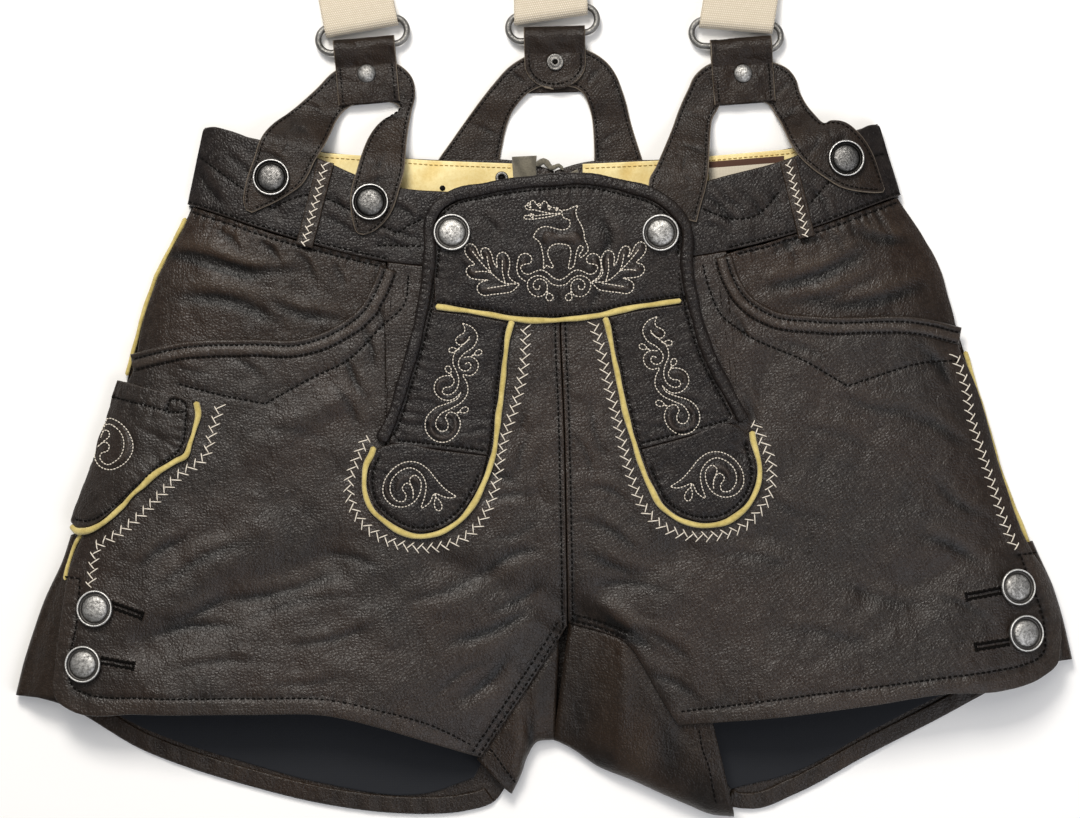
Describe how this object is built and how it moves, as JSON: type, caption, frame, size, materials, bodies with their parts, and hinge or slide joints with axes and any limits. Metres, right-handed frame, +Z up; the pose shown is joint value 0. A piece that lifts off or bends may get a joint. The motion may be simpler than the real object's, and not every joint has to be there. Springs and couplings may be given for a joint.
{
  "type": "short leather lederhosen with braces",
  "caption": "Short leather lederhosen with an embroidered drop-front flap, slant pockets, vented legs and elastic braces, laid flat with the front up.",
  "frame": {"origin": "middle of the lay on the table, under the garment", "axes": "+X to the right of the lying front, +Y from the leg hems up to the braces, +Z up from the table"},
  "size_m": [0.5619, 0.7156, 0.0307],
  "materials": {
    "leather": "dark brown nappa, soft sheen",
    "facing_leather": "brown nappa, wrinkled",
    "brace_leather": "dark brown strap leather, satin",
    "chamois": "yellow chamois, matte",
    "lining": "navy lining, matte",
    "elastic": "ecru woven elastic",
    "metal": "antique silver",
    "suede": "grey suede",
    "label_cloth": "bare woven label",
    "thread": "cream embroidery thread",
    "dark_thread": "dark sewing thread"
  },
  "bodies": {
    "root": {"back_lace": "suede", "back_left": "leather", "back_right": "leather", "belt_loop_left": "leather", "belt_loop_right": "leather", "brace_fork_back": "brace_leather", "brace_fork_left": "brace_leather", "brace_fork_right": "brace_leather", "brace_loop_back": "brace_leather", "brace_loop_left": "brace_leather", "brace_loop_right": "brace_leather", "button_brace_left_inner": "metal", "button_brace_left_outer": "metal", "button_brace_right_outer": "metal", "button_flap_left": "metal", "button_flap_right": "metal", "button_leg_left_lower": "metal", "button_leg_left_upper": "metal", "button_leg_right_lower": "metal", "button_leg_right_upper": "metal", "elastic_back": "elastic", "elastic_left": "elastic", "elastic_right": "elastic", "eyelet": "metal", "facing_left": "chamois", "facing_right": "chamois", "flap_binding": "leather", "flap_side_left": "leather", "flap_side_right": "leather", "flap_tongue_left": "leather", "flap_tongue_right": "leather", "flap_yoke": "leather", "front_left": "leather", "front_right": "leather", "knife_pocket": "leather", "label": "label_cloth", "lining_left": "lining", "lining_right": "lining", "piping_cross": "chamois", "piping_knife": "chamois", "piping_side_left_lower": "chamois", "piping_side_left_upper": "chamois", "piping_side_right": "chamois", "piping_tab_left": "chamois", "piping_tab_right": "chamois", "pocket_facing_left": "facing_leather", "pocket_facing_right": "facing_leather", "pocket_welt_left": "leather", "pocket_welt_right": "leather", "ring_back": "metal", "ring_left": "metal", "ring_right": "metal", "rivet_back": "metal", "rivet_left": "metal", "rivet_right": "metal", "waistband_back_left": "leather", "waistband_back_right": "leather", "waistband_front_left": "leather", "waistband_front_right": "leather", "yoke": "brace_leather"}
  },
  "joints": []
}
